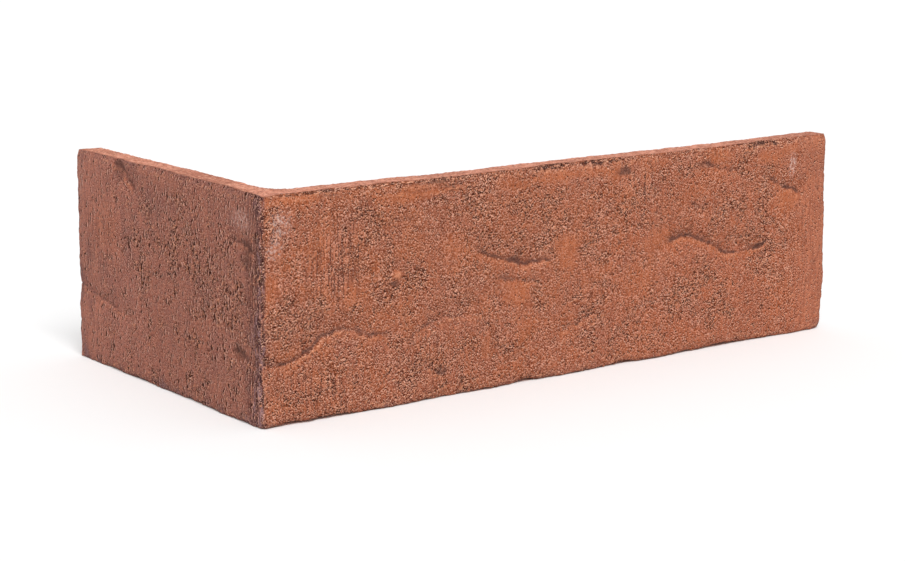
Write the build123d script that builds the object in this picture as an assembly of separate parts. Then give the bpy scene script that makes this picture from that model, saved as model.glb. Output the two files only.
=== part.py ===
from build123d import *
import math
import os

# Clinker corner brick slip: a thin L of fired clay that wraps the outer corner of a wall.
# Millimetres, +Z up. The long leg lies along +X at the front, the short leg along +Y at the left.
# The origin is on the bed the slip stands on, in the middle of the area it covers.

# Format of the slip
long_leg = 240.0
short_leg = 115.0
course_height = 71.0
slip_thickness = 9.0

# Corners of the L, seen from above
inner_fillet = 8.0
outer_round = 2.8

# Soft arris round the edges of the face, which wavers along its length
arris = 0.9
arris_waver = 0.35
arris_wave_length = 37.0

# Slow waves of the moulded face: their mean depth and the three lengths they mix
wave_depth = 0.30
wave_lengths = (61.0, 34.0, 19.0)

# Folds where the clay rolled over itself in the mould. Each runs from point to point across the
# face, with its depth and the height of the slope that leads down to it. A point is the distance
# from the outer corner, negative on the short leg, and the height above the bed.
folds = [
    {"line": [(-88.5, 69.0), (-77.6, 63.3)], "depth": 1.0, "slope": 5.0},
    {"line": [(-113.0, 24.8), (-94.0, 21.9), (-83.2, 21.2)], "depth": 0.9, "slope": 4.0},
    {"line": [(-15.7, 55.3), (-3.5, 52.0)], "depth": 0.7, "slope": 4.0},
    {"line": [(-16.4, 21.4), (-5.6, 19.3)], "depth": 0.7, "slope": 4.0},
    {"line": [(0.0, 21.0), (6.7, 18.6)], "depth": 0.7, "slope": 3.5},
    {"line": [(13.8, 22.2), (21.4, 26.4), (27.3, 28.1), (36.2, 28.2)], "depth": 1.2, "slope": 5.0},
    {"line": [(36.2, 25.4), (44.9, 23.2)], "depth": 0.6, "slope": 2.5},
    {"line": [(57.6, 19.0), (63.0, 25.3), (72.5, 27.3), (81.7, 27.1)], "depth": 1.1, "slope": 4.5},
    {"line": [(83.4, 44.5), (92.0, 41.6), (102.8, 40.4)], "depth": 1.2, "slope": 5.0},
    {"line": [(92.5, 36.8), (99.6, 33.5)], "depth": 0.7, "slope": 3.5},
    {"line": [(117.5, 16.2), (128.3, 18.9)], "depth": 0.7, "slope": 3.0},
    {"line": [(161.2, 38.0), (172.4, 40.6), (188.9, 33.9), (208.1, 32.5)], "depth": 1.5, "slope": 7.0},
    {"line": [(182.6, 64.4), (195.2, 61.5)], "depth": 0.9, "slope": 4.5},
    {"line": [(213.2, 56.4), (225.6, 52.0)], "depth": 0.9, "slope": 4.0},
    {"line": [(174.7, 52.2), (183.3, 50.0)], "depth": 0.8, "slope": 4.5},
]
lip_height = 2.4
fold_run_out = 4.0

# Spalls along the arrises: distance from the outer corner, half length and depth
top_spalls = [(-60.0, 6.0, 0.5), (0.5, 4.0, 0.6), (24.0, 7.0, 0.5)]
top_spalls += [(113.5, 6.5, 1.2), (134.5, 6.5, 1.0), (209.0, 8.0, 1.1)]
bed_spalls = [(-67.0, 8.0, 0.7), (9.5, 5.0, 1.0), (102.5, 4.0, 0.9), (146.5, 4.5, 1.1), (191.0, 12.0, 1.0)]
spall_height = 2.4

# Spacing of the points that carry the face, and how far its sheet runs past the slip
column_step = 3.2
row_step = 3.0
overrun = 1.2

node_name = "corner_slip"

# Outer corner in plan, and distances along the face from the middle of that corner
corner_x = -long_leg / 2
corner_y = -short_leg / 2
half_arc = outer_round * math.pi / 4
reach_long = long_leg - outer_round + half_arc
reach_short = short_leg - outer_round + half_arc


def face_line(u):
    """Point and outward normal in plan at distance u round the outer corner."""
    if abs(u) <= half_arc:
        turn = math.pi / 4 * (1 + u / half_arc)
        nx = -math.cos(turn)
        ny = -math.sin(turn)
        return corner_x + outer_round * (1 + nx), corner_y + outer_round * (1 + ny), nx, ny
    past = outer_round + abs(u) - half_arc
    if u > 0:
        return corner_x + past, corner_y, 0.0, -1.0
    return corner_x, corner_y + past, -1.0, 0.0


def waves(u, z):
    """Slow unevenness of the face, from nothing to twice the mean depth."""
    long_wave, middle_wave, short_wave = wave_lengths
    turn = 2 * math.pi
    a = math.sin(turn * (u / long_wave + z / (2 * long_wave)))
    b = math.sin(turn * (u / middle_wave - z / long_wave) + 1.3)
    c = math.sin(turn * (u / short_wave + z / middle_wave) + 0.4)
    return wave_depth * (1 + (a + 0.7 * b + 0.4 * c) / 2.1)


def fold_depth(u, z, fold):
    """Depth of one fold at a point: a long slope above its crease and a steep lip below."""
    best = math.inf
    for (u0, z0), (u1, z1) in zip(fold["line"], fold["line"][1:]):
        run = math.hypot(u1 - u0, z1 - z0)
        along = ((u - u0) * (u1 - u0) + (z - z0) * (z1 - z0)) / run
        above = ((z - z0) * (u1 - u0) - (u - u0) * (z1 - z0)) / run
        past = max(0.0, -along, along - run)
        if math.hypot(past, above) < best:
            best = math.hypot(past, above)
            run_out = math.exp(-((past / fold_run_out) ** 2))
            side = fold["slope"] if above > 0 else lip_height
            share = run_out * math.exp(-((above / side) ** 2))
    return fold["depth"] * share


def softness(distance, width):
    """How far the face draws back at a distance from its edge, and past it."""
    if distance < 0:
        return width - distance
    return width * math.exp(-distance / width)


def spall_depth(u, distance, spalls):
    """Depth of the spalls at a distance from the arris that they are on."""
    low = (max(distance, 0.0) / spall_height) ** 2
    return sum(deep * math.exp(-(((u - middle) / half) ** 2) - low) for middle, half, deep in spalls)


def relief(u, z):
    """Distance of the finished face behind the flat one."""
    waver = arris_waver * math.sin(2 * math.pi * u / arris_wave_length)
    depth = waves(u, z) + sum(fold_depth(u, z, fold) for fold in folds)
    depth += softness(course_height - z, arris * (1 + waver))
    depth += softness(z, arris * (1 - waver))
    depth += softness(reach_long - u, arris)
    depth += softness(reach_short + u, arris)
    depth += spall_depth(u, course_height - z, top_spalls)
    depth += spall_depth(u, z, bed_spalls)
    return depth


def spread(start, end, step):
    """Evenly spaced values from start to end, no further apart than the step."""
    count = max(1, math.ceil(abs(end - start) / step))
    return [start + (end - start) * i / count for i in range(count + 1)]


def columns():
    """Distances round the corner at which the face has points, closer at its corner and ends."""
    near = 2 * arris
    left_end = spread(-reach_short - overrun, -reach_short + near, arris)
    left = spread(-reach_short + near, -half_arc, column_step)
    corner = spread(-half_arc, half_arc, half_arc / 2)
    right = spread(half_arc, reach_long - near, column_step)
    right_end = spread(reach_long - near, reach_long + overrun, arris)
    return left_end[:-1] + left[:-1] + corner + right[1:] + right_end[1:]


def rows():
    """Heights at which the face has points, closer along its arrises."""
    near = 2 * arris
    low = spread(-overrun, near, arris)
    middle = spread(near, course_height - near, row_step)
    high = spread(course_height - near, course_height + overrun, arris)
    return low + middle[1:-1] + high


def level_line(z):
    """Line of the finished face at one height."""
    places = columns()
    length = places[-1] - places[0]
    points = []
    for u in places:
        x, y, nx, ny = face_line(u)
        depth = relief(u, z)
        points.append((x - nx * depth, y - ny * depth, z))
    shares = [(u - places[0]) / length for u in places]
    return Wire([Edge.make_spline(points, parameters=shares)])


def folded_face():
    """The outer face as one smooth sheet round the corner, a little larger than the slip."""
    return Shell.make_loft([level_line(z) for z in rows()]).faces()[0]


def blank():
    """The L before its face is formed, thicker than the slip on the outside."""
    spare = slip_thickness
    low_x = corner_x - spare
    low_y = corner_y - spare
    high_x = corner_x + long_leg
    high_y = corner_y + short_leg
    back_x = corner_x + slip_thickness
    back_y = corner_y + slip_thickness
    front = [(low_x, high_y), (low_x, low_y), (high_x, low_y)]
    back = [(high_x, back_y), (back_x, back_y), (back_x, high_y)]
    plan = make_face(Polyline(*front, *back, close=True))
    inside = plan.vertices().sort_by_distance((back_x, back_y))[0]
    return extrude(fillet(inside, inner_fillet), course_height)


def corner_slip():
    """The finished slip: all of the blank that lies behind the folded face."""
    inward = Vector(1, 1, 0) * (long_leg + short_leg)
    return blank() & Solid.extrude(folded_face(), inward)


os.makedirs("parts", exist_ok=True)
export_step(corner_slip(), os.path.join("parts", node_name + ".step"))
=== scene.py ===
import math

import bpy
import numpy as np
from mathutils import Matrix, Vector
from mathutils.bvhtree import BVHTree


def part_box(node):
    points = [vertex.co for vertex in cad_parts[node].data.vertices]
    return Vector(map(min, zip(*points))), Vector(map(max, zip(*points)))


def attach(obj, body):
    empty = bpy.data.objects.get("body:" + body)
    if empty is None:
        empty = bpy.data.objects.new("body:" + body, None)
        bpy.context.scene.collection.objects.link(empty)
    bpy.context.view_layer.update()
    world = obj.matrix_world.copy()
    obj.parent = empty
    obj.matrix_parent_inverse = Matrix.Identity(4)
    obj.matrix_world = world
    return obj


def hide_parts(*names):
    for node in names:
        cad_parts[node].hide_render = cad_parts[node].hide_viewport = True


# Clinker corner brick slip: the fired-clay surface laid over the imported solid, a studio and a camera.
# Lengths are in millimetres until a mesh is made. A place on the face is u, its distance round the
# outer corner, negative on the short leg, and z, its height above the bed.

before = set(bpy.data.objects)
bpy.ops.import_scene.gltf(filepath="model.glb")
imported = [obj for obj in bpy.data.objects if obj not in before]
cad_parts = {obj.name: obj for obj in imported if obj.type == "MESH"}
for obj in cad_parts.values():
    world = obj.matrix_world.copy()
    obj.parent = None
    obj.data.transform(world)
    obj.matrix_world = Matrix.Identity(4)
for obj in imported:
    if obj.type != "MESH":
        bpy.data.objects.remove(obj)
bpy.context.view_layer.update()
MM = 0.001
NODE = "corner_slip"
low_corner, high_corner = [np.array(corner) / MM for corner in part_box(NODE)]

# Sizes of the slip
LONG_LEG = 240.0
SHORT_LEG = 115.0
HEIGHT = high_corner[2] - low_corner[2]
THICKNESS = 9.0
OUTER_ROUND = 2.8
INNER_FILLET = 8.0
CORNER_X = high_corner[0] - LONG_LEG
CORNER_Y = high_corner[1] - SHORT_LEG
HALF_ARC = OUTER_ROUND * math.pi / 4
REACH_LONG = LONG_LEG - OUTER_ROUND + HALF_ARC
REACH_SHORT = SHORT_LEG - OUTER_ROUND + HALF_ARC

# Fineness of the mesh: steps along the legs, rows up the face, and steps across the cut faces
LONG_STEP = 0.44
SHORT_STEP = 0.66
FACE_ROWS = 119
STRIP_STEPS = 6
BACK_STEPS = 6

# Every random pattern starts from a number above this seed, and noise repeats after so many cells
SEED = 41
NOISE_CELLS = 512

# Creases of the folds: the line of each, how deep its step is and how far the step reaches up. The
# last three carry on the one that starts at 166.5.
CREASES = [
    ([(-89.5, 69.5), (-84.5, 68.0), (-80.5, 65.0), (-77.6, 62.6)], 0.42, 3.4),
    ([(-112.5, 25.0), (-104.0, 23.0), (-94.0, 21.6), (-83.2, 20.2)], 0.32, 2.5),
    ([(-15.7, 55.3), (-9.0, 54.4), (-3.5, 51.0)], 0.28, 3.4),
    ([(-16.4, 21.4), (-11.0, 20.8), (-5.6, 18.6)], 0.26, 3.0),
    ([(0.2, 19.9), (4.5, 18.9), (9.9, 18.7), (15.3, 21.3), (20.7, 25.3), (24.3, 26.6), (28.9, 27.6),
      (34.5, 25.9), (39.2, 24.2), (45.0, 23.4)], 0.40, 2.4),
    ([(56.0, 21.4), (60.5, 24.2), (66.1, 25.4), (74.1, 25.6), (83.0, 25.2)], 0.26, 2.2),
    ([(82.6, 45.2), (87.9, 42.9), (94.1, 40.7), (99.3, 39.5), (104.5, 39.4), (109.0, 39.8)], 0.46, 3.0),
    ([(90.7, 35.8), (96.3, 34.3), (104.0, 33.7)], 0.26, 2.2),
    ([(116.5, 15.4), (122.5, 16.6), (128.3, 18.4)], 0.30, 2.0),
    ([(166.5, 40.0), (170.0, 40.8), (173.5, 40.9), (179.0, 38.9)], 0.56, 4.6),
    ([(182.0, 64.6), (188.5, 62.4), (195.4, 61.9)], 0.30, 3.2),
    ([(212.6, 57.0), (218.5, 54.0), (225.8, 51.6)], 0.42, 3.0),
    ([(173.0, 52.0), (178.0, 50.4), (184.0, 50.4)], 0.10, 3.0),
    ([(30.0, 50.2), (33.0, 49.2), (37.0, 48.4)], 0.22, 1.6),
    ([(62.0, 10.2), (65.5, 8.2), (69.6, 7.4)], 0.24, 1.8),
    ([(86.0, 11.5), (92.0, 10.6), (98.0, 12.2)], 0.15, 1.8),
    ([(43.0, 67.4), (47.5, 67.9), (54.0, 67.0), (63.3, 67.2), (71.0, 68.0), (79.8, 68.4)], 0.24, 1.2),
    ([(45.0, 60.6), (48.0, 59.4), (53.0, 58.6)], 0.24, 1.2),
    ([(182.0, 37.7), (187.0, 35.2), (191.5, 33.2), (196.0, 32.8)], 0.46, 4.6),
    ([(198.8, 33.0), (200.6, 33.2)], 0.22, 4.2),
    ([(203.0, 33.3), (205.5, 33.2), (209.5, 34.4)], 0.50, 2.6),
]

# How far a crease strays from its line and runs on past its ends, and the widths of its step and groove
CREASE_WANDER = 0.6
CREASE_RUN_OUT = 2.0
STEP_WIDTH = 0.28
GROOVE_WIDTH = 0.35

# Patches of torn, grainy clay: middle, half width, half height and strength
GRAINY = [
    (8.0, 62.0, 9.0, 10.0, 0.8), (16.0, 29.0, 12.0, 9.0, 1.0), (6.0, 34.0, 7.0, 9.0, 0.7),
    (42.0, 56.0, 9.0, 16.0, 0.8), (50.0, 39.0, 9.0, 9.0, 1.0), (37.0, 30.0, 7.0, 5.0, 0.8),
    (72.0, 64.0, 12.0, 7.0, 1.0), (82.0, 60.0, 10.0, 8.0, 0.7), (74.0, 31.0, 9.0, 6.0, 0.9),
    (104.0, 56.0, 13.0, 12.0, 1.0), (98.0, 47.0, 8.0, 5.0, 0.8), (128.0, 41.0, 7.0, 9.0, 1.0),
    (150.0, 60.0, 17.0, 7.0, 0.7), (143.0, 49.0, 14.0, 7.0, 0.6), (203.0, 60.0, 10.0, 13.0, 1.0),
    (192.0, 45.0, 16.0, 7.0, 0.7), (207.0, 34.0, 6.0, 5.0, 0.9), (165.0, 22.0, 18.0, 9.0, 0.5),
    (187.0, 17.0, 17.0, 10.0, 0.55), (140.0, 17.0, 12.0, 9.0, 0.6), (112.0, 24.0, 10.0, 8.0, 0.5),
    (66.0, 12.0, 12.0, 6.0, 0.7), (52.0, 10.0, 9.0, 6.0, 0.7), (96.0, 14.0, 9.0, 7.0, 0.6),
    (24.0, 12.0, 12.0, 6.0, 0.5), (213.0, 22.0, 9.0, 7.0, 0.5), (-32.0, 42.0, 22.0, 13.0, 0.75),
    (-52.0, 52.0, 20.0, 10.0, 0.6), (-45.0, 24.0, 18.0, 9.0, 0.6), (-20.0, 34.0, 10.0, 9.0, 0.7),
    (204.5, 47.0, 6.0, 11.0, 0.8), (-26.0, 10.0, 13.0, 6.0, 0.6), (-76.0, 36.0, 12.0, 10.0, 0.5),
]

# Stretches where the clay was dragged up out of the mould: middle, half width, half height, strength
DRAGGED = [
    (25.0, 47.0, 11.0, 14.0, 0.85), (148.0, 62.0, 9.0, 8.0, 0.8), (62.0, 15.0, 9.0, 11.0, 0.6),
    (37.0, 60.0, 5.0, 9.0, 0.6), (118.0, 47.0, 5.0, 9.0, 0.4), (160.0, 50.0, 8.0, 6.0, 0.4),
    (230.0, 36.0, 12.0, 36.0, 0.35), (18.0, 10.0, 16.0, 9.0, 0.6), (-3.5, 34.0, 5.0, 40.0, 0.9),
    (-98.0, 40.0, 18.0, 36.0, 0.35), (86.0, 22.0, 8.0, 12.0, 0.4),
]

# Smooth orange smears: middle, half width, half height and strength
SMEARS = [
    (209.5, 65.5, 8.0, 2.6, 1.0), (221.0, 67.5, 5.0, 2.0, 0.8), (187.0, 67.5, 7.0, 2.5, 0.7),
    (219.0, 48.5, 7.0, 4.0, 0.9), (95.5, 31.0, 6.0, 4.5, 0.9), (118.0, 42.5, 5.0, 6.0, 0.9),
    (138.5, 65.5, 5.0, 2.2, 0.9), (159.0, 42.0, 8.0, 4.5, 0.8), (2.6, 43.0, 3.0, 5.5, 0.9),
    (19.5, 52.0, 6.0, 8.0, 0.7), (52.0, 66.0, 8.0, 2.6, 0.8), (33.0, 38.0, 7.0, 6.0, 0.5),
    (72.0, 47.0, 9.0, 6.0, 0.5), (150.0, 28.0, 9.0, 7.0, 0.5), (100.0, 20.0, 6.0, 9.0, 0.6),
    (64.0, 67.5, 12.0, 2.0, 0.6), (176.0, 56.0, 8.0, 4.0, 0.5), (48.9, 42.0, 2.4, 2.4, 1.0),
    (-95.0, 47.0, 10.0, 12.0, 0.5), (10.0, 69.0, 12.0, 2.0, 0.8), (94.0, 66.0, 8.0, 2.4, 0.8),
    (111.0, 67.0, 9.0, 2.0, 1.0), (127.0, 67.2, 8.0, 1.8, 1.0),
]

# Dark soft patches, partly stains and partly painted shadow under the pebble, in hollows and under the
# broken upper arris: middle, half width, half height and strength
STAINS_AND_SHADOWS = [
    (142.0, 66.2, 4.2, 1.8, 0.9), (140.8, 42.6, 1.3, 1.2, 0.9), (48.7, 39.4, 2.0, 1.0, 1.0),
    (48.2, 39.0, 1.2, 0.8, 0.6), (-87.0, 66.5, 3.6, 4.5, 0.8), (179.5, 65.2, 4.5, 1.6, 0.6),
    (177.5, 51.4, 4.5, 1.6, 0.25), (93.4, 36.4, 3.0, 1.8, 0.6), (98.0, 41.4, 6.0, 1.6, 0.4),
    (206.8, 33.8, 2.4, 1.2, 0.7), (67.0, 9.0, 3.0, 1.2, 0.6), (-9.0, 52.0, 5.0, 5.0, 0.7),
    (-12.5, 21.0, 4.0, 2.5, 0.6), (163.5, 40.6, 4.0, 1.6, 0.45), (52.5, 59.5, 5.0, 1.3, 0.5),
    (26.0, 65.0, 2.0, 1.6, 0.5), (228.8, 57.0, 2.2, 1.6, 0.5), (111.0, 70.0, 6.0, 0.7, 0.6),
    (131.0, 69.6, 6.0, 0.7, 0.6), (206.5, 70.0, 3.5, 0.7, 0.6), (214.0, 69.4, 1.8, 0.9, 0.6),
    (60.0, 69.6, 12.0, 0.6, 0.7), (160.0, 69.8, 9.0, 0.5, 0.6), (26.0, 69.0, 8.0, 0.5, 0.6),
]

# Pale bloom of salts: middle, half width, half height and strength
BLOOM = [
    (6.6, 62.0, 3.6, 4.5, 0.9), (4.0, 54.5, 3.0, 3.5, 0.7), (-11.0, 62.5, 6.0, 3.5, 0.7),
    (222.0, 62.0, 1.8, 4.5, 0.9), (-112.0, 62.0, 3.0, 9.0, 0.35),
]

# Single grains, and one pit, whose height is negative: middle, radius and height
PEBBLES = [
    (48.9, 41.9, 1.7, 0.9), (140.8, 42.0, 1.0, -0.5), (147.0, 37.0, 0.9, 0.35), (33.5, 66.0, 1.0, 0.3),
]

# Slow waver of the upper edge: middle, half length and height
TOP_WAVER = [(-45.0, 36.0, 0.30), (72.0, 26.0, -0.30), (228.0, 20.0, 0.45), (52.0, 8.0, 0.12)]

# Worn stretches of the bed arris: middle, half length and how high the edge lifts
BED_LIFTS = [
    (18.0, 15.5, 0.62), (10.5, 2.3, 0.50), (27.5, 4.5, 0.22), (82.0, 8.0, 0.42), (85.5, 2.6, 0.25),
    (102.0, 3.6, 0.80), (122.0, 2.6, 0.30), (129.0, 1.8, 0.30), (134.5, 1.2, 0.30), (145.8, 3.2, 0.55),
    (143.4, 1.1, 0.50), (165.0, 13.0, 0.35), (174.0, 2.2, 0.30), (184.0, 3.6, 0.40), (189.8, 3.4, 0.95),
    (195.0, 3.4, 0.50), (206.0, 9.0, 0.15),
]
MEAN_LIFT = 0.07
MOST_LIFT = 1.6

# How far the upper arris lies below the top: in the mean, at the corner, how long that is, and at most
MEAN_DROP = 0.10
CORNER_DROP = 0.5
CORNER_HALF = 4.0
MOST_DROP = 0.8

# Unevenness of the edges: how far it goes, the size of its cells and its number
BED_UNEVEN = [(0.06, 7.0, 20), (0.09, 1.6, 21)]
TOP_UNEVEN = [(0.10, 6.0, 22), (0.05, 1.5, 23)]
BACK_UNEVEN = [(0.10, 5.0, 50), (0.08, 1.1, 51)]

# How far the back lies in from its plain plane, in the mean and at most, the length over which that
# fades out at the ends, and how far the back's upper edge lies below the top
MEAN_SINK = 0.10
MOST_SINK = 0.3
SINK_FADE = 3.0
BACK_DROP = 0.12

# Stretches of the upper arris that broke away, and ones that are only worn: middle, half length, depth
TOP_BREAKS = [(112.0, 6.5, 0.9), (132.0, 8.0, 0.7), (206.0, 3.6, 0.8), (214.0, 2.4, 1.0)]
TOP_WEAR = [(64.0, 9.0, 0.35), (24.0, 10.0, 0.3), (-60.0, 6.0, 0.35), (172.0, 9.0, 0.25)]

# Ragged wear of the four kinds of arris: how deep, the mean of its noise, how far in from the arris it
# goes, the length and height of its cells, and its number
TOP_WORN = (0.28, 0.4, 1.6, 2.6, 1.6, 12)
BED_WORN = (0.35, 0.5, 1.8, 3.4, 1.8, 13)
CORNER_WORN = (0.22, 0.0, 2.2, 1.6, 3.2, 15)
END_WORN = (0.22, 0.0, 1.4, 3.0, 3.0, 16)

# Scattered pits, and grains, which stand proud: how many are tried, their radii and depths, 1 for pits
# or -1 for grains, their number above the seed, and the share that is kept where the clay is smooth
PITS = [
    (30000, (0.32, 0.58), (0.06, 0.26), 1, 8, 0.15),
    (20000, (0.30, 0.50), (0.05, 0.18), -1, 9, 0.15),
    (420, (0.55, 0.95), (0.18, 0.42), 1, 17, 0.25),
]

# How far in from the short leg's end the face is evened out, how much, and to what depth at most
EVEN_REACH = 9.0
EVEN_SHARE = 0.85
EVEN_DEPTH = 0.7

# The sawn ends lean over this last stretch of the legs. The long leg's end has a belly, at a height and
# with a half height. The short leg's end stands out a little and is worn at the top, from a height up.
LEAN_REACH = 12.0
BELLY = 1.4
BELLY_HEIGHT = 20.0
BELLY_HALF = 24.0
SHORT_FULLNESS = 0.3
WORN_TOP = 0.9
WORN_FROM = 64.0

# Where tints and calm clay set in along the legs, and over what length
CALM_LONG = (222.0, 12.0)
CALM_SHORT = (92.0, 14.0)
LILAC_SHORT = (40.0, 55.0)
WARM_LONG = (68.0, 110.0)

# What the back and the two cut strips are painted with, where it isn't nothing
CUT_PAINT = {"hollow": 0.5, "sawn": 1.0}

# Shares of red, green and blue that bring the painted colours down to what the studio light needs
STUDIO_SHARE = (0.925, 0.855, 0.805)

# Colours of the clay as seen, and of its painted shade and highlights, from 0 to 255
BROWN_CLAY = (155, 95, 73)
ORANGE_CLAY = (167, 98, 65)
WARM_CLAY = (186, 102, 66)
ROSE_CLAY = (156, 108, 100)
LILAC_CLAY = (176, 122, 114)
CALM_CLAY = (196, 140, 122)
SMEAR_AND_LIP_HIGHLIGHT = (184, 108, 70)
DARK_MOTTLE = (132, 84, 70)
PALE_MOTTLE = (178, 108, 80)
SOOT_AND_FOOT_SHADE = (102, 76, 80)
SHADE = (94, 64, 58)
PALE_GRIT_AND_HIGHLIGHT = (228, 176, 156)
DARK_GRIT = (88, 28, 4)
DARK_DRAG = (92, 52, 44)
PALE_DRAG = (212, 142, 112)
PALE_SOOT = (154, 124, 130)
DARK_CORNER = (62, 38, 42)
RIM_SHADOW = (48, 26, 26)
RIM_HIGHLIGHT = (236, 180, 152)
SPECK_HIGHLIGHT = (232, 186, 164)
SPECK_SHADE = (52, 14, 3)
BARK_HIGHLIGHT = (216, 172, 158)
BARK_SHADE = (56, 18, 8)
CURL = (52, 20, 12)
HOLLOW_SHADE = (62, 30, 24)
CREST_HIGHLIGHT = (222, 156, 122)
SALT_DUST = (222, 196, 190)
SALT_FILM = (200, 160, 154)
PALE_CUT = (228, 163, 142)
DARK_CUT = (202, 135, 112)
CUT_PATCH = (172, 112, 92)
SAW_LINE = (172, 112, 94)
CUT_PIT = (112, 70, 62)
CUT_GRAIN = (240, 186, 162)

# How much the unglazed clay and the floor shine
CLAY_SPECULAR = 0.1
FLOOR_SPECULAR = 0.5

# Studio: the key light, the surround and the floor
KEY_STRENGTH = 2.7
KEY_SPREAD = math.radians(35)
KEY_FROM = (-0.30, -0.60, 0.74)
SURROUND_STRENGTH = 0.55
FLOOR_HALF_M = 8.0
FLOOR_DROP_M = 0.0002
FLOOR_WHITE = 0.9
FLOOR_ROUGHNESS = 0.9

# The photograph's view: from beyond the corner, a little above the slip
CAMERA_YAW = math.radians(37.5)
CAMERA_PITCH = math.radians(11.8)
CAMERA_ROLL = math.radians(0.65)
CAMERA_FROM_CORNER = (-335.0, -529.0, 177.0)
FOCAL_PX = 2163.0
IMAGE_WIDTH_PX = 905
SENSOR_WIDTH = 36.0
CLIP_START_M = 0.01


def bell(distance, width, power=2):
    """One at no distance, fading out past the width."""
    return np.exp(-(distance / width) ** power)


def ramp(value):
    """The value held between 0 and 1."""
    return np.clip(value, 0, 1)


def onset(distance, start, over):
    """Nothing up to the start, then a rise to 1 over a length."""
    return ramp((distance - start) / over)


def outer_line(u):
    """Points and outward normals of the plain face in plan, at distances u."""
    turn = math.pi / 4 * (1 + np.clip(u / HALF_ARC, -1, 1))
    nx = -np.cos(turn)
    ny = -np.sin(turn)
    past = np.maximum(np.abs(u) - HALF_ARC, 0)
    x = CORNER_X + OUTER_ROUND * (1 + nx) + np.where(u > 0, past, 0)
    y = CORNER_Y + OUTER_ROUND * (1 + ny) + np.where(u < 0, past, 0)
    return x, y, nx, ny


def inner_line(u):
    """Points of the back in plan that lie behind distances u, and their normals."""
    bend = THICKNESS + INNER_FILLET
    reach = bend - OUTER_ROUND + HALF_ARC
    turn = math.pi / 4 * (1 + np.clip(u / reach, -1, 1))
    nx = np.cos(turn)
    ny = np.sin(turn)
    past = np.maximum(np.abs(u) - reach, 0)
    x = CORNER_X + bend - INNER_FILLET * nx + np.where(u > 0, past, 0)
    y = CORNER_Y + bend - INNER_FILLET * ny + np.where(u < 0, past, 0)
    return x, y, nx, ny


def lattice_noise(a, b, number):
    """Smooth noise from -1 to 1 with one cell to a unit."""
    draw = np.random.default_rng(SEED + number)
    table = draw.uniform(-1, 1, (NOISE_CELLS, NOISE_CELLS))
    ia = np.floor(a).astype(int)
    ib = np.floor(b).astype(int)
    fa = a - ia
    fb = b - ib
    fa = fa * fa * (3 - 2 * fa)
    fb = fb * fb * (3 - 2 * fb)
    low, high = [
        table[(ia + i) % NOISE_CELLS, ib % NOISE_CELLS] * (1 - fb)
        + table[(ia + i) % NOISE_CELLS, (ib + 1) % NOISE_CELLS] * fb
        for i in (0, 1)
    ]
    return low * (1 - fa) + high * fa


def rough_noise(u, z, cell_u, cell_z, number, octaves=3):
    """Noise of several finenesses added up, about -1 to 1."""
    total = np.zeros(np.broadcast(u, z).shape)
    whole = 0.0
    for octave in range(octaves):
        finer = 2 ** octave
        total += lattice_noise(u / cell_u * finer, z / cell_z * finer, number + octave) / finer
        whole += 1 / finer
    return total / whole * 1.6


def uneven_line(u, parts):
    """Unevenness of an edge along the slip."""
    return sum(far * rough_noise(u, 0.0, cell, cell, number) for far, cell, number in parts)


def blobs(u, z, places):
    """Soft ellipses added up, up to 1."""
    total = np.zeros(np.broadcast(u, z).shape)
    for middle_u, middle_z, half_u, half_z, strength in places:
        near = ((u - middle_u) / half_u) ** 2 + ((z - middle_z) / half_z) ** 2
        total += strength * np.exp(-near ** 1.5)
    return ramp(total)


def blur(grid, passes):
    """The grid smoothed by repeated averaging with its neighbours."""
    for _ in range(passes):
        wide = np.pad(grid, 1, mode="edge")
        beside = wide[:-2, 1:-1] + wide[2:, 1:-1] + wide[1:-1, :-2] + wide[1:-1, 2:]
        grid = (beside + 4 * wide[1:-1, 1:-1]) / 8
    return grid


def line_places(u, z, line):
    """Distance past the ends of a broken line and height above it, at each point."""
    best = np.full(u.shape, np.inf)
    past = np.zeros(u.shape)
    above = np.zeros(u.shape)
    for (u0, z0), (u1, z1) in zip(line, line[1:]):
        run = math.hypot(u1 - u0, z1 - z0)
        along = ((u - u0) * (u1 - u0) + (z - z0) * (z1 - z0)) / run
        height = ((z - z0) * (u1 - u0) - (u - u0) * (z1 - z0)) / run
        over = np.maximum(0, np.maximum(-along, along - run))
        far = np.hypot(over, height)
        nearer = far < best
        best = np.where(nearer, far, best)
        past = np.where(nearer, over, past)
        above = np.where(nearer, height, above)
    return past, above


def crease_relief(u, z):
    """Depth of the creases' steps, the painted shade above each step and the painted light on the lip below
    it.
    """
    depth = np.zeros(u.shape)
    shade = np.zeros(u.shape)
    lit_lips = np.zeros(u.shape)
    wander = CREASE_WANDER * rough_noise(u, z, 2.4, 2.4, 10)
    for number, (line, step, reach) in enumerate(CREASES):
        past, above = line_places(u, z, line)
        above = above + wander
        step = step * bell(past, CREASE_RUN_OUT)
        uneven = 0.85 + 0.35 * lattice_noise(u / 4.0, z / 9.0, 30 + number)
        ragged = np.clip(uneven + 0.5 * lattice_noise(u / 1.1, z / 1.1, 70 + number), 0.2, 1.4)
        rise = 0.5 * (1 + np.tanh(above / (2 * STEP_WIDTH)))
        slope = rise * np.exp(-np.maximum(above, 0) / (0.45 * reach))
        groove = bell(above, GROOVE_WIDTH)
        bulge = bell(above + 0.9, 0.8)
        depth += step * (uneven * (slope + 0.45 * groove) - 0.30 * bulge)
        dark_slope = rise * np.exp(-np.maximum(above, 0) / (0.5 * reach))
        dark_line = bell(above - 0.35, 0.5)
        shade += step * ragged * (1.3 * dark_slope + 1.1 * dark_line)
        # Painted light on the lip below each crease, which catches the light from above
        lit_lips += 1.3 * step * bell(above + 1.3, 1.2)
    return depth, ramp(shade), ramp(lit_lips)


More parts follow.
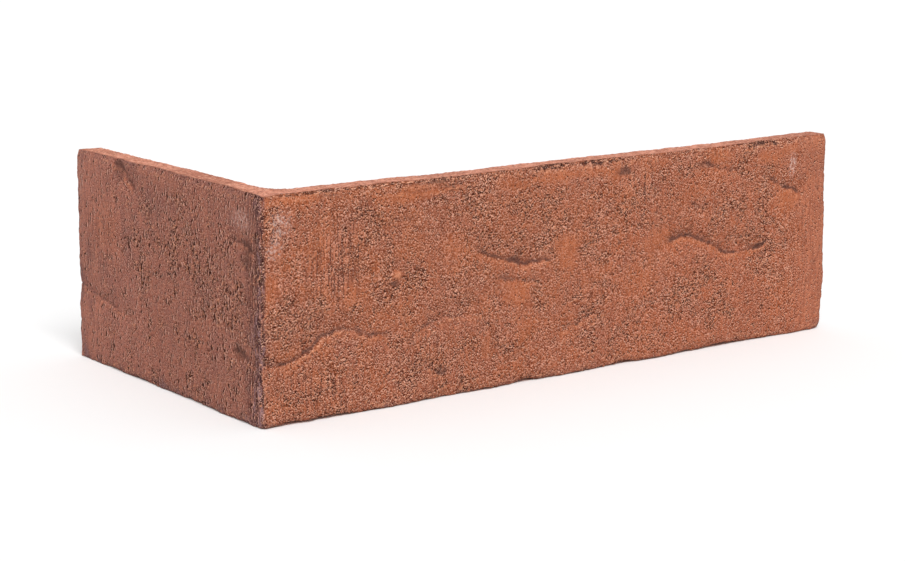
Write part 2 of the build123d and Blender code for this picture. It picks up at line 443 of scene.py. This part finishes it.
def pits(u_line, z_line, grain, kind):
    """Depth of scattered round pits or grains, denser where the clay is grainy."""
    count, radii, depths, sign, number, on_smooth = kind
    draw = np.random.default_rng(SEED + number)
    depth = np.zeros((len(u_line), len(z_line)))
    step_z = z_line[1] - z_line[0]
    for _ in range(count):
        i = draw.integers(0, len(u_line))
        j = draw.integers(0, len(z_line))
        radius = draw.uniform(*radii)
        drop = draw.uniform(*depths)
        keep = draw.uniform()
        if keep > on_smooth + (1 - on_smooth) * grain[i, j]:
            continue
        wide_i = int(2 * radius / LONG_STEP) + 1
        wide_j = int(2 * radius / step_z) + 1
        part_i = slice(max(0, i - wide_i), i + wide_i + 1)
        part_j = slice(max(0, j - wide_j), j + wide_j + 1)
        far = np.hypot(u_line[part_i, None] - u_line[i], z_line[None, part_j] - z_line[j])
        depth[part_i, part_j] += drop * bell(far, radius, 4)
    return sign * depth


def solid_depth(u_line, heights):
    """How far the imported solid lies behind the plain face, by rays from in front of it."""
    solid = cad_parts[NODE].data
    corners = [vertex.co[:] for vertex in solid.vertices]
    tree = BVHTree.FromPolygons(corners, [polygon.vertices[:] for polygon in solid.polygons])
    start = 4.0
    inside = 0.03
    x, y, nx, ny = outer_line(np.clip(u_line, -REACH_SHORT + inside, REACH_LONG - inside))
    depth = np.zeros(heights.shape)
    for i in range(len(u_line)):
        ray = Vector((-nx[i], -ny[i], 0.0))
        from_x = (x[i] + nx[i] * start) * MM
        from_y = (y[i] + ny[i] * start) * MM
        for j in range(heights.shape[1]):
            z = min(max(heights[i, j], inside), HEIGHT - inside)
            place, _, _, far = tree.ray_cast(Vector((from_x, from_y, z * MM)), ray)
            depth[i, j] = far / MM - start if place is not None else np.nan
    for row in depth:
        bad = np.isnan(row)
        if bad.any() and not bad.all():
            row[bad] = np.interp(np.flatnonzero(bad), np.flatnonzero(~bad), row[~bad])
    return np.nan_to_num(depth, nan=1.0)


def steady_end(u_line, depth):
    """The depth evened out up the short leg's end, which is nearly straight."""
    near = onset(-u_line, REACH_SHORT - EVEN_REACH, EVEN_REACH)[:, None]
    even = np.minimum(depth.mean(1, keepdims=True), EVEN_DEPTH)
    return depth + EVEN_SHARE * near * (even - depth)


def face_columns():
    """Distances of the face's columns, closer together on the long leg."""
    short_line = np.linspace(-REACH_SHORT, 0, round(REACH_SHORT / SHORT_STEP) + 1)
    long_line = np.linspace(0, REACH_LONG, round(REACH_LONG / LONG_STEP) + 1)
    return np.concatenate([short_line[:-1], long_line])


def face_grid():
    """Heights, depths and paint masks of the face over its grid of columns and rows."""
    u_line = face_columns()
    lift = bed_lift(u_line)
    tall = HEIGHT + top_waver(u_line) - lift - top_drop(u_line)
    z = lift[:, None] + tall[:, None] * np.linspace(0, 1, FACE_ROWS)[None, :]
    u = np.broadcast_to(u_line[:, None], z.shape)
    broken = rough_noise(u, z, 4.2, 4.2, 1)
    coarse = rough_noise(u, z, 7.0, 7.0, 5)
    combed = blobs(u, z, DRAGGED)
    calm = onset(u + 4 * broken, *CALM_LONG) + onset(-u, *CALM_SHORT)
    creases, shade, lit_lips = crease_relief(u, z)
    # Smooth orange smears, together with the painted light on the creases' lips
    smear_and_lip_light = ramp(blobs(u, z, SMEARS) + lit_lips)
    grain = ramp(0.75 * blobs(u, z, GRAINY) + 0.85 * broken - 0.05)
    grain = ramp(grain * (1 - 0.8 * calm) * (1 - 0.8 * smear_and_lip_light))
    depth = steady_end(u_line, blur(solid_depth(u_line, z), 3)) + creases
    depth = depth + fine_texture(u, z, grain, combed, coarse) + edge_wear(u, z)
    for kind in PITS:
        depth += pits(u_line, z[len(u_line) // 2], grain, kind)
    # How far each point lies below its surroundings: the shader paints shade in the hollows and highlight on
    # the crests from it
    hollow = depth - blur(depth, 4)
    masks = {
        "grain": grain,
        "hollow": ramp(0.5 + 2.2 * hollow),
        "combed": combed,
        "calm": calm,
        "smear_and_lip_light": smear_and_lip_light,
        # Painted shade of the creases, with the stains and the painted shadows of the listed patches
        "shade": ramp(shade + blobs(u, z, STAINS_AND_SHADOWS) * (0.75 + 0.5 * broken)),
        "soot_and_foot_shade": soot_and_foot_shade_mask(u, z),
        "bloom": blobs(u, z, BLOOM),
        "rosy": rosy_mask(u, z),
        "lilac": onset(-u, *LILAC_SHORT) * (0.8 + 0.4 * coarse),
        "warm": onset(u, *WARM_LONG) * ramp(1.15 - z / 140),
        "rim": rim_shade_mask(u, z),
        "arris": ramp(bell(u + 0.9, 1.5) * ramp(0.3 + z / 20) + 0.55 * bell(u + 6.0, 5.0)),
        "sawn": np.zeros(u.shape),
    }
    return u_line, z, depth, masks


def fine_texture(u, z, grain, combed, coarse):
    """Depth of the grain, the slow unevenness, the drag lines and the single grains."""
    fine = lattice_noise(u / 0.95, z / 0.95, 2) + 0.8 * lattice_noise(u / 0.62, z / 0.66, 3)
    drag = rough_noise(u, z, 1.3, 20.0, 7, octaves=2)
    depth = (0.055 + 0.07 * grain) * fine + 0.05 * coarse + (0.015 + 0.05 * combed) * drag
    for place_u, place_z, radius, height in PEBBLES:
        depth -= height * bell(np.hypot(u - place_u, z - place_z), radius, 3)
    return depth


def worn_arris(u, z, distance, kind):
    """Depth of the ragged wear of one arris, from each point's distance to it."""
    deep, mean, width, cell_u, cell_z, number = kind
    return deep * (rough_noise(u, z, cell_u, cell_z, number) + mean) * bell(distance, width)


def edge_wear(u, z):
    """Depth of the wear and the breaks of the arrises of the face."""
    from_top = HEIGHT - z
    from_end = np.minimum(u + REACH_SHORT, REACH_LONG - u)
    wear = worn_arris(u, z, from_top, TOP_WORN) + worn_arris(u, z, z, BED_WORN)
    wear += worn_arris(u, z, u, CORNER_WORN) + worn_arris(u, z, from_end, END_WORN)
    bite = np.clip(0.55 + 0.9 * rough_noise(u, z, 1.8, 1.2, 14), 0, 1.4) * bell(from_top - 0.5, 1.0)
    for middle, half, deep in TOP_BREAKS + TOP_WEAR:
        wear += deep * bell(u - middle, half, 4) * bite
    return wear


def bed_lift(u):
    """How far the edge of the bed lies above the floor at the face."""
    worn = sum(high * bell(u - middle, half, 4) for middle, half, high in BED_LIFTS)
    return np.clip(MEAN_LIFT + uneven_line(u, BED_UNEVEN) + worn, 0, MOST_LIFT)


def top_drop(u):
    """How far the upper arris lies below the top of the slip at the face."""
    at_corner = CORNER_DROP * bell(u, CORNER_HALF)
    return np.clip(MEAN_DROP + uneven_line(u, TOP_UNEVEN) + at_corner, 0, MOST_DROP)


def top_waver(u):
    """Slow rise and fall of the upper edge."""
    return sum(high * bell(u - middle, half) for middle, half, high in TOP_WAVER)


def soot_and_foot_shade_mask(u, z):
    """Grey-purple tint of the short leg, the corner and the ends, and painted shade along the foot of the
    face.
    """
    before = np.clip(-u - 0.2, 0, None)
    past = np.clip(u + 0.2, 0, None)
    streaks = 1 + 0.5 * rough_noise(u, z, 1.2, 14.0, 42, octaves=2)
    corner = np.where(u < -0.2, bell(before, 6.0), bell(past, 0.9)) * streaks
    corner = corner * (0.55 + 0.45 * onset(HEIGHT - z, 0, 5))
    beside = 0.24 * bell(past, 8.0) * (u > 0.2) * np.clip(z / 20, 0.3, 1)
    short = 0.30 * onset(-u, 0, 3)
    ends = 0.16 * bell(u + REACH_SHORT, 8.0) + 0.10 * bell(REACH_LONG - u, 5.0)
    # Painted shade along the foot of the face, where the floor shades it
    foot_shade = 0.40 * bell(z, 3.5)
    head = np.where(u < 0, 0.15, 0.04) * bell(HEIGHT - z, 2.0)
    broken = 0.75 + 0.5 * rough_noise(u, z, 3.0, 9.0, 41)
    cloud = 0.30 * ramp(rough_noise(u, z, 16.0, 12.0, 40) - 0.1)
    return ramp((corner + beside + short + ends + foot_shade + head) * broken + cloud)


def rim_shade_mask(u, z):
    """How broken the upper arris is, and how much painted shadow and highlight go just under it."""
    under = HEIGHT - z
    broken = blobs(u, under, [(middle, 0.9, half, 0.9, 1.0) for middle, half, _ in TOP_BREAKS])
    line = (0.42 + 0.4 * bell(u - 42, 40, 4)) * bell(under - 0.75, 0.42)
    return ramp(broken + line * np.clip((u + 10) / 20, 0.3, 1))


def rosy_mask(u, z):
    """Where the clay fired to a rose brown: the short leg, and patches of the long one."""
    patches = np.clip(0.4 * rough_noise(u, z, 9.0, 11.0, 44) - 0.05, 0, 0.35)
    return ramp(onset(-u, 0, 2) * (0.9 + 0.2 * rough_noise(u, z, 12.0, 16.0, 45)) + patches)


def back_grid(u_line):
    """Points of the back, from its upper edge down to the bed."""
    x, y, nx, ny = inner_line(u_line)
    share = np.linspace(0, 1, BACK_STEPS + 1)[None, :]
    from_end = np.minimum(u_line + REACH_SHORT, REACH_LONG - u_line)
    depth = MEAN_SINK + 0.10 * rough_noise(u_line[:, None], HEIGHT * share, 14.0, 14.0, 52)
    depth = np.clip(depth, 0, MOST_SINK) * onset(from_end, 0, SINK_FADE)[:, None]
    top = HEIGHT - BACK_DROP + uneven_line(u_line, BACK_UNEVEN) + top_waver(u_line)
    back_x = x[:, None] - nx[:, None] * depth
    back_y = y[:, None] - ny[:, None] * depth
    return np.stack([back_x, back_y, top[:, None] * (1 - share)], -1)


def strip(u_line, first, last, number):
    """Rough cut strip between two edges of the slip, without the edges themselves."""
    share = np.linspace(0, 1, STRIP_STEPS + 1)[None, 1:-1]
    shares = np.stack([share, share, share ** 1.4], -1)
    points = first[:, None] * (1 - shares) + last[:, None] * shares
    fade = np.minimum(STRIP_STEPS * share * (1 - share), 1)
    points[:, :, 2] += 0.07 * fade * rough_noise(u_line[:, None], 40 * share, 1.6, 3.0, number)
    return points


def lean_ends(u_line, points):
    """Both ends are rough sawn: fuller in the middle and at the foot, worn at the top."""
    z = points[:, :, 2]
    at_long = onset(u_line, REACH_LONG - LEAN_REACH, LEAN_REACH)[:, None] ** 2
    at_short = onset(-u_line, REACH_SHORT - LEAN_REACH, LEAN_REACH)[:, None] ** 2
    belly = BELLY * bell(z - BELLY_HEIGHT, BELLY_HALF)
    worn = SHORT_FULLNESS - WORN_TOP * onset(z, WORN_FROM, HEIGHT - WORN_FROM) ** 2
    points[:, :, 0] += at_long * (belly + 0.16 * rough_noise(z, 0.0, 5.0, 1.0, 60))
    points[:, :, 1] += at_short * (worn + 0.16 * rough_noise(z, 0.0, 4.0, 1.0, 61))


def ring_faces(columns, around):
    """Quads between the rings across the slip, and one face over each end."""
    index = np.arange(columns * around).reshape(columns, around)
    a = index[:-1, :]
    b = index[1:, :]
    quads = np.stack([a, b, np.roll(b, -1, 1), np.roll(a, -1, 1)], -1).reshape(-1, 4)
    return quads.tolist() + [index[0, :].tolist(), index[-1, ::-1].tolist()]


def mark_sharp(mesh, columns, around):
    """Keeps the back's edges and the ends crisp."""
    back_edges = (FACE_ROWS + STRIP_STEPS - 1, FACE_ROWS + STRIP_STEPS + BACK_STEPS - 1)
    for edge in mesh.edges:
        first, second = edge.vertices
        along_back = first % around == second % around and first % around in back_edges
        column = first // around
        round_end = column == second // around and column in (0, columns - 1)
        edge.use_edge_sharp = along_back or round_end


def slip_mesh():
    """One closed mesh: rings across the slip, one for each column of the face, and two end caps."""
    u_line, heights, depth, masks = face_grid()
    x, y, nx, ny = outer_line(u_line)
    face = np.stack([x[:, None] - nx[:, None] * depth, y[:, None] - ny[:, None] * depth, heights], -1)
    back = back_grid(u_line)
    top = strip(u_line, face[:, -1], back[:, 0], 54)
    bed = strip(u_line, back[:, -1], face[:, 0], 56)
    bed[:, :, 2] = np.maximum(bed[:, :, 2], 0)
    points = np.concatenate([face, top, back, bed], 1)
    lean_ends(u_line, points)
    columns, around = points.shape[:2]
    mesh = bpy.data.meshes.new("fired_clay")
    mesh.from_pydata((points.reshape(-1, 3) * MM).tolist(), [], ring_faces(columns, around))
    mesh.validate()
    mesh.polygons.foreach_set("use_smooth", [True] * len(mesh.polygons))
    for name, mask in masks.items():
        rest = np.full((columns, around - FACE_ROWS), CUT_PAINT.get(name, 0.0))
        values = np.concatenate([mask, rest], 1).reshape(-1).astype(np.float32)
        mesh.attributes.new(name, "FLOAT", "POINT").data.foreach_set("value", values)
    mark_sharp(mesh, columns, around)
    mesh.update()
    return mesh


def srgb(colour):
    """Linear colour from the usual 0 to 255 values, brought down by how bright the studio is."""
    linear = [((value / 255 + 0.055) / 1.055) ** 2.4 for value in colour]
    return tuple(value * share for value, share in zip(linear, STUDIO_SHARE)) + (1.0,)


class Shader:
    """A material's node tree, with short calls that add nodes and link them."""

    def __init__(self, name):
        self.material = bpy.data.materials.new(name)
        self.material.use_nodes = True
        self.tree = self.material.node_tree
        self.tree.nodes.clear()
        self.place = self.add("ShaderNodeTexCoord").outputs["Object"]
        self.masks = {}

    def add(self, kind, inputs=(), **settings):
        """A new node with these settings, its inputs linked to sockets or set to constants."""
        node = self.tree.nodes.new(kind)
        for name, value in settings.items():
            setattr(node, name, value)
        for name, value in dict(inputs).items():
            if isinstance(value, bpy.types.NodeSocket):
                self.tree.links.new(value, node.inputs[name])
            else:
                node.inputs[name].default_value = value
        return node

    def painted(self, name):
        """A mask that is painted on the mesh."""
        if name not in self.masks:
            self.masks[name] = self.add("ShaderNodeAttribute", attribute_name=name).outputs["Fac"]
        return self.masks[name]

    def noise(self, size, detail, rough, stretch=(1, 1, 1), shift=(0, 0, 0)):
        """Noise with cells of this size, drawn out by stretches under one and moved against the shift."""
        moved = [value * MM for value in shift]
        place = self.add("ShaderNodeMapping", {"Vector": self.place, "Scale": stretch, "Location": moved})
        cells = {"Scale": 1 / (size * MM), "Detail": detail, "Roughness": rough}
        return self.add("ShaderNodeTexNoise", {"Vector": place.outputs["Vector"], **cells}).outputs["Fac"]

    def band(self, value, low, high, none=0.0, full=1.0):
        """A smooth change from none to full as the value goes from low to high."""
        limits = {"From Min": low, "From Max": high, "To Min": none, "To Max": full}
        node = self.add("ShaderNodeMapRange", {"Value": value, **limits}, interpolation_type="SMOOTHSTEP")
        return node.outputs["Result"]

    def where(self, name, none, full, low=0.0, high=1.0):
        """A band that follows a painted mask."""
        return self.band(self.painted(name), low, high, none, full)

    def math(self, operation, *values):
        return self.add("ShaderNodeMath", enumerate(values), operation=operation).outputs[0]

    def plus(self, a, b):
        return self.math("ADD", a, b)

    def minus(self, a, b):
        return self.math("SUBTRACT", a, b)

    def times(self, a, b):
        return self.math("MULTIPLY", a, b)

    def mix(self, share, first, second):
        inputs = {"Factor": share, "A": first, "B": second}
        return self.add("ShaderNodeMix", inputs, data_type="RGBA").outputs["Result"]

    def tint(self, colour, share, over):
        """The colour with a share of another laid over it."""
        return self.mix(share, colour, srgb(over))

    def bump(self, height, distance, strength, under=None):
        inputs = {"Height": height, "Distance": distance * MM, "Strength": strength}
        if under is not None:
            inputs["Normal"] = under
        return self.add("ShaderNodeBump", inputs).outputs["Normal"]

    def surface(self, colour, roughness, specular, normal=None):
        """The finished material."""
        inputs = {"Base Color": colour, "Roughness": roughness, "Specular IOR Level": specular}
        if normal is not None:
            inputs["Normal"] = normal
        shader = self.add("ShaderNodeBsdfPrincipled", inputs)
        self.add("ShaderNodeOutputMaterial", {"Surface": shader.outputs["BSDF"]})
        return self.material


def broad_colour(clay):
    """Colour of the clay in patches, with the rose and lilac short leg, the smears with painted light on the
    creases' lips, and the soot with painted shade along the foot.
    """
    patch = clay.band(clay.noise(9.0, 4.0, 0.65), 0.40, 0.62)
    mottle = clay.band(clay.noise(1.0, 2.0, 0.6), 0.40, 0.62)
    colour = clay.mix(patch, srgb(BROWN_CLAY), srgb(ORANGE_CLAY))
    colour = clay.tint(colour, clay.where("warm", 0.0, 0.5), WARM_CLAY)
    colour = clay.tint(colour, clay.where("rosy", 0.0, 0.9), ROSE_CLAY)
    colour = clay.tint(colour, clay.where("lilac", 0.0, 0.6), LILAC_CLAY)
    colour = clay.tint(colour, clay.where("calm", 0.0, 0.25), CALM_CLAY)
    colour = clay.tint(colour, clay.band(mottle, 0.0, 1.0, 0.0, 0.28), DARK_MOTTLE)
    colour = clay.tint(colour, clay.band(mottle, 0.0, 1.0, 0.35, 0.0), PALE_MOTTLE)
    # Smears, with painted highlight on the lips below the creases
    colour = clay.tint(colour, clay.where("smear_and_lip_light", 0.0, 0.5), SMEAR_AND_LIP_HIGHLIGHT)
    # Soot, with painted shade along the foot
    return clay.tint(colour, clay.where("soot_and_foot_shade", 0.0, 0.85, 0.05), SOOT_AND_FOOT_SHADE)


def with_grit(clay, colour, grit, short):
    """Pale grit, partly painted highlights of the fine relief, and dark grit; strong where the clay is torn,
    weak on smears, the short leg and the ends.
    """
    rough = clay.minus(clay.where("grain", 0.6, 1.0), clay.where("smear_and_lip_light", 0.0, 0.3))
    rough = clay.times(rough, clay.band(clay.noise(4.0, 2.0, 0.6), 0.38, 0.6, 0.6, 1.15))
    rough = clay.times(rough, clay.band(short, 0.0, 1.0, 1.0, 0.5))
    rough = clay.times(rough, clay.where("calm", 1.0, 0.3))
    # Pale grit, partly a painted highlight on the peaks of the fine relief
    colour = clay.tint(colour, clay.times(clay.band(grit, 0.52, 0.66), rough), PALE_GRIT_AND_HIGHLIGHT)
    return clay.tint(colour, clay.times(clay.band(grit, 0.48, 0.40), rough), DARK_GRIT)


def with_drag_lines(clay, colour, drag):
    """Dark and pale upright lines where the clay was dragged out of the mould."""
    dark = clay.times(clay.band(drag, 0.51, 0.62), clay.where("combed", 0.12, 0.85))
    pale = clay.times(clay.band(drag, 0.48, 0.38), clay.where("combed", 0.12, 0.5))
    return clay.tint(clay.tint(colour, dark, DARK_DRAG), pale, PALE_DRAG)


def with_edge_dashes(clay, colour):
    """Upright dashes on the soot and the corner, and level dashes of painted shadow and highlight along the
    broken upper rim.
    """
    upright = clay.noise(0.8, 2.0, 0.6, stretch=(1, 1, 0.22))
    on_soot = clay.times(clay.band(upright, 0.49, 0.41), clay.where("soot_and_foot_shade", 0.0, 0.7, 0.5))
    on_corner = clay.times(clay.band(upright, 0.50, 0.58), clay.where("arris", 0.0, 0.9, 0.05))
    colour = clay.tint(clay.tint(colour, on_soot, PALE_SOOT), on_corner, DARK_CORNER)
    level = clay.noise(0.7, 2.0, 0.6, stretch=(0.3, 0.3, 1))
    # Level dashes under the upper arris: painted shadow under its lip, and painted highlight on its broken
    # rim
    dark = clay.times(clay.band(level, 0.46, 0.54), clay.where("rim", 0.0, 0.95, 0.05, 0.9))
    pale = clay.times(clay.band(level, 0.44, 0.38), clay.where("rim", 0.0, 0.8, 0.05, 0.9))
    return clay.tint(clay.tint(colour, dark, RIM_SHADOW), pale, RIM_HIGHLIGHT)


def speck_crowd(clay, short):
    """What crowds the specks: more on grain and in hollows, less on smears, the short leg and the ends."""
    crowd = clay.minus(clay.where("grain", -0.016, 0.024), clay.where("smear_and_lip_light", 0.0, 0.04))
    crowd = clay.plus(crowd, clay.where("hollow", 0.0, 0.04, 0.5, 0.9))
    crowd = clay.minus(crowd, clay.band(short, 0.0, 1.0, 0.0, 0.04))
    return clay.minus(crowd, clay.where("calm", 0.0, 0.03))


def with_specks(clay, colour, speck, crowd):
    """Dark specks of painted shade in small pits, each with a painted highlight on its lower edge, as lit
    from above.
    """
    lit_lower_edge = clay.plus(clay.noise(0.45, 1.0, 0.6, shift=(0, 0, 0.4)), crowd)
    # Painted highlight on the lower edge of each speck, lit from above, and painted shade in the specks
    colour = clay.tint(colour, clay.band(lit_lower_edge, 0.585, 0.66, 0.0, 0.8), SPECK_HIGHLIGHT)
    return clay.tint(colour, clay.band(speck, 0.555, 0.625, 0.0, 0.95), SPECK_SHADE)


def with_bark(clay, colour, short):
    """Painted shade in upright pits of the short leg, each with a painted highlight on its edge towards the
    corner.
    """
    crowd = clay.plus(clay.where("grain", -0.045, 0.022), clay.band(short, 0.0, 1.0, -0.5, 0.0))
    bark = clay.plus(clay.noise(0.75, 1.0, 0.6, stretch=(1, 1, 0.42)), crowd)
    beside = clay.plus(clay.noise(0.75, 1.0, 0.6, stretch=(1, 1, 0.42), shift=(0, 0.45, 0)), crowd)
    # Painted highlight on each pit's edge towards the corner, and painted shade in the pits
    colour = clay.tint(colour, clay.band(beside, 0.57, 0.66, 0.0, 0.7), BARK_HIGHLIGHT)
    return clay.tint(colour, clay.band(bark, 0.56, 0.63, 0.0, 0.95), BARK_SHADE)


def with_relief(clay, colour):
    """Dark curls of torn clay, painted shade in the hollows and painted highlight on the crests, and the
    painted shade of the creases with the stains and painted shadows.
    """
    from_line = clay.math("ABSOLUTE", clay.minus(clay.noise(1.7, 1.0, 0.5), 0.5))
    curl = clay.times(clay.band(from_line, 0.035, 0.015), clay.band(clay.noise(2.6, 1.0, 0.5), 0.48, 0.60))
    colour = clay.tint(colour, clay.times(curl, clay.where("grain", 0.1, 0.8, 0.1, 0.7)), CURL)
    # Painted shade in the hollows and painted highlight on the crests
    colour = clay.tint(colour, clay.where("hollow", 0.0, 0.36, 0.60, 0.92), HOLLOW_SHADE)
    colour = clay.tint(colour, clay.where("hollow", 0.0, 0.5, 0.45, 0.15), CREST_HIGHLIGHT)
    return clay.tint(colour, clay.where("shade", 0.0, 0.8, 0.05, 0.9), SHADE)


def with_salts(clay, colour):
    """Pale bloom, as a dust and as a thin film."""
    dust = clay.times(clay.band(clay.noise(0.9, 2.0, 0.7), 0.50, 0.60), clay.where("bloom", 0.0, 0.65))
    colour = clay.tint(colour, dust, SALT_DUST)
    return clay.tint(colour, clay.where("bloom", 0.0, 0.10), SALT_FILM)


def cut_colour(clay):
    """Colour of the cut faces: pale and patchy, with saw lines, pits and paler grains."""
    colour = clay.mix(clay.band(clay.noise(2.2, 3.0, 0.6), 0.4, 0.65), srgb(PALE_CUT), srgb(DARK_CUT))
    colour = clay.tint(colour, clay.band(clay.noise(7.0, 3.0, 0.7), 0.50, 0.66, 0.0, 0.6), CUT_PATCH)
    saw = clay.noise(1.6, 2.0, 0.6, stretch=(0.03, 0.03, 1))
    colour = clay.tint(colour, clay.band(saw, 0.46, 0.62, 0.0, 0.55), SAW_LINE)
    colour = clay.tint(colour, clay.band(clay.noise(0.8, 2.0, 0.6), 0.54, 0.64, 0.0, 0.8), CUT_PIT)
    return clay.tint(colour, clay.band(clay.noise(1.2, 2.0, 0.6), 0.46, 0.36, 0.0, 0.7), CUT_GRAIN)


def clay_material():
    """Unglazed clinker: orange smears over rose clay, torn grain, pits with painted shade and highlights,
    soot and salts.
    """
    clay = Shader("clinker")
    # One on the short leg, which is told from the long one by its rose tint
    short = clay.where("rosy", 0.0, 1.0, 0.5, 0.8)
    grit = clay.noise(0.5, 1.0, 0.6)
    drag = clay.noise(0.6, 2.0, 0.5, stretch=(1, 1, 0.06))
    crowd = speck_crowd(clay, short)
    speck = clay.plus(clay.noise(0.45, 1.0, 0.6), crowd)
    colour = with_grit(clay, broad_colour(clay), grit, short)
    colour = with_drag_lines(clay, colour, drag)
    colour = with_edge_dashes(clay, colour)
    colour = with_specks(clay, colour, speck, crowd)
    colour = with_bark(clay, colour, short)
    colour = with_relief(clay, colour)
    colour = with_salts(clay, colour)
    colour = clay.mix(clay.painted("sawn"), colour, cut_colour(clay))
    normal = clay.bump(grit, 0.7, clay.where("grain", 0.7, 1.0, 0.0, 0.9))
    normal = clay.bump(drag, 0.16, 0.5, normal)
    return clay.surface(colour, clay.band(speck, 0.3, 0.7, 0.82, 0.95), CLAY_SPECULAR, normal)


def floor_material():
    """Plain white floor."""
    white = (FLOOR_WHITE, FLOOR_WHITE, FLOOR_WHITE, 1.0)
    return Shader("pale_floor").surface(white, FLOOR_ROUGHNESS, FLOOR_SPECULAR)


def add_slip():
    """The dressed slip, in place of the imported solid."""
    piece = bpy.data.objects.new("fired_clay", slip_mesh())
    bpy.context.scene.collection.objects.link(piece)
    piece.data.materials.append(clay_material())
    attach(piece, "root")
    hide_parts(NODE)


def add_floor():
    """A floor just under the slip."""
    half = FLOOR_HALF_M
    corners = [(-half, -half, 0), (half, -half, 0), (half, half, 0), (-half, half, 0)]
    mesh = bpy.data.meshes.new("floor")
    mesh.from_pydata(corners, [], [(0, 1, 2, 3)])
    floor = bpy.data.objects.new("floor", mesh)
    floor.location.z = -FLOOR_DROP_M
    bpy.context.scene.collection.objects.link(floor)
    mesh.materials.append(floor_material())


def add_studio():
    """Soft light from above and in front, and a white surround."""
    data = bpy.data.lights.new("key", "SUN")
    data.energy = KEY_STRENGTH
    data.angle = KEY_SPREAD
    key = bpy.data.objects.new("key", data)
    key.rotation_euler = Vector(KEY_FROM).to_track_quat("Z", "Y").to_euler()
    bpy.context.scene.collection.objects.link(key)
    world = bpy.data.worlds.new("surround")
    world.use_nodes = True
    background = world.node_tree.nodes["Background"]
    background.inputs["Color"].default_value = (1.0, 1.0, 1.0, 1.0)
    background.inputs["Strength"].default_value = SURROUND_STRENGTH
    bpy.context.scene.world = world
    bpy.context.scene.view_settings.view_transform = "Standard"


def add_camera():
    """The photograph's view."""
    across = math.cos(CAMERA_PITCH)
    forward = Vector((math.sin(CAMERA_YAW) * across, math.cos(CAMERA_YAW) * across, -math.sin(CAMERA_PITCH)))
    level = Vector((math.cos(CAMERA_YAW), -math.sin(CAMERA_YAW), 0.0))
    up = level.cross(forward)
    right = level * math.cos(CAMERA_ROLL) + up * math.sin(CAMERA_ROLL)
    above = up * math.cos(CAMERA_ROLL) - level * math.sin(CAMERA_ROLL)
    data = bpy.data.cameras.new("camera")
    data.sensor_fit = "HORIZONTAL"
    data.sensor_width = SENSOR_WIDTH
    data.lens = FOCAL_PX * SENSOR_WIDTH / IMAGE_WIDTH_PX
    data.clip_start = CLIP_START_M
    camera = bpy.data.objects.new("camera", data)
    turn = Matrix((right, above, -forward)).transposed().to_4x4()
    place = (Vector((CORNER_X, CORNER_Y, 0.0)) + Vector(CAMERA_FROM_CORNER)) * MM
    camera.matrix_world = Matrix.Translation(place) @ turn
    bpy.context.scene.collection.objects.link(camera)
    bpy.context.scene.camera = camera


add_slip()
add_floor()
add_studio()
add_camera()
